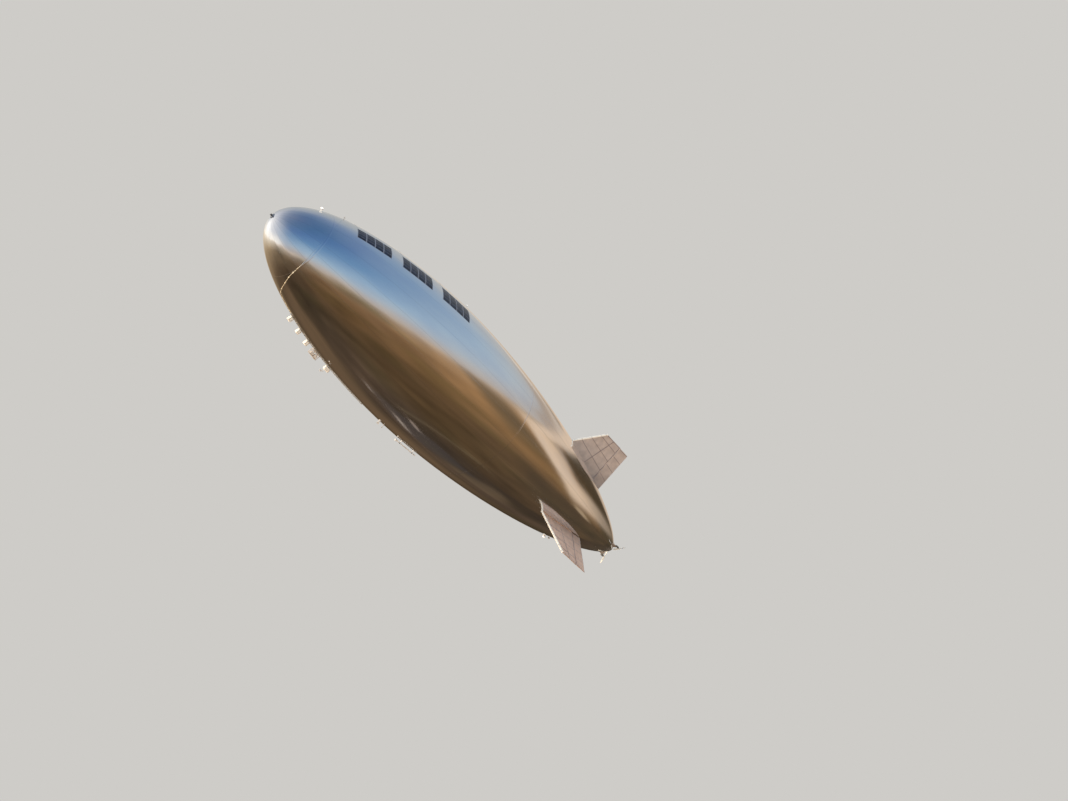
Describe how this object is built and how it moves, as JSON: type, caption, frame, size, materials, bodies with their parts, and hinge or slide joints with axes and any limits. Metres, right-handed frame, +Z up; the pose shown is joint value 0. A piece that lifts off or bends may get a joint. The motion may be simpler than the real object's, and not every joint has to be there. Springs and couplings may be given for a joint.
{
  "type": "half-scale model of a high-altitude airship",
  "caption": "Mirror-skinned helium airship with inverted-Y tail fins, solar arrays along its back, small tail propellers and equipment under its belly; a half-scale model.",
  "frame": {"origin": "centre of buoyancy, on the envelope's axis", "axes": "+X along the axis to the nose, +Y to port, +Z up, as the ship floats level"},
  "size_m": [32.6608, 8.9771, 9.5178],
  "materials": {
    "film": "mirror-bright aluminised film with faint lengthwise ripples",
    "tape": "satin load tape",
    "solar": "glossy navy thin-film cells with pale gaps",
    "cloth": "matte pale pinkish fabric",
    "white": "satin white",
    "composite": "grey composite",
    "dark": "dark satin"
  },
  "bodies": {
    "hull": {"envelope_nose": "film", "envelope_middle_top": "film", "envelope_tail_top": "film", "envelope_middle_port": "film", "envelope_tail_port": "film", "envelope_middle_belly": "film", "envelope_tail_belly": "film", "envelope_middle_starboard": "film", "envelope_tail_starboard": "film", "nose_cap": "film", "tail_cap": "film", "front_ring_tape": "tape", "rear_ring_tape": "tape", "solar_array_front": "solar", "solar_array_middle": "solar", "solar_array_rear": "solar", "top_fin": "cloth", "port_fin": "cloth", "starboard_fin": "cloth", "top_fin_edge_tube": "white", "port_fin_edge_tube": "white", "starboard_fin_edge_tube": "white", "front_battery_box": "white", "middle_battery_box": "white", "rear_battery_box": "white", "payload_pod": "white", "sensor_arm": "white", "aft_boom": "white", "nose_light": "white", "top_beacon": "white", "belly_camera": "white", "tail_lamp": "white", "port_pylon": "composite", "lower_pylon": "composite", "starboard_pylon": "composite", "belly_rail": "composite", "payload_frame": "composite", "top_antenna": "composite", "belly_antenna": "composite", "tail_vent": "composite", "nose_mooring_spindle": "dark", "port_motor": "dark", "lower_motor": "dark", "starboard_motor": "dark"},
    "top_rudder": {"top_rudder": "cloth"},
    "port_rudder": {"port_rudder": "cloth"},
    "starboard_rudder": {"starboard_rudder": "cloth"},
    "port_propeller": {"port_propeller": "composite"},
    "lower_propeller": {"lower_propeller": "composite"},
    "starboard_propeller": {"starboard_propeller": "composite"}
  },
  "joints": [
    {"name": "top_rudder_hinge", "type": "hinge", "parent": "hull", "child": "top_rudder", "pos_m": [-12.625, 0, 3.6], "axis": [0, 0, 1], "range_deg": [-25, 25]},
    {"name": "port_rudder_hinge", "type": "hinge", "parent": "hull", "child": "port_rudder", "pos_m": [-12.625, 3.11769, -1.8], "axis": [0, 0.866, -0.5], "range_deg": [-25, 25]},
    {"name": "starboard_rudder_hinge", "type": "hinge", "parent": "hull", "child": "starboard_rudder", "pos_m": [-12.625, -3.11769, -1.8], "axis": [0, -0.866, -0.5], "range_deg": [-25, 25]},
    {"name": "port_propeller_spin", "type": "hinge", "parent": "hull", "child": "port_propeller", "pos_m": [-17.7, 0.60622, 0.35], "axis": [1, 0, 0], "continuous": true},
    {"name": "lower_propeller_spin", "type": "hinge", "parent": "hull", "child": "lower_propeller", "pos_m": [-17.7, 0, -0.7], "axis": [1, 0, 0], "continuous": true},
    {"name": "starboard_propeller_spin", "type": "hinge", "parent": "hull", "child": "starboard_propeller", "pos_m": [-17.7, -0.60622, 0.35], "axis": [1, 0, 0], "continuous": true}
  ]
}
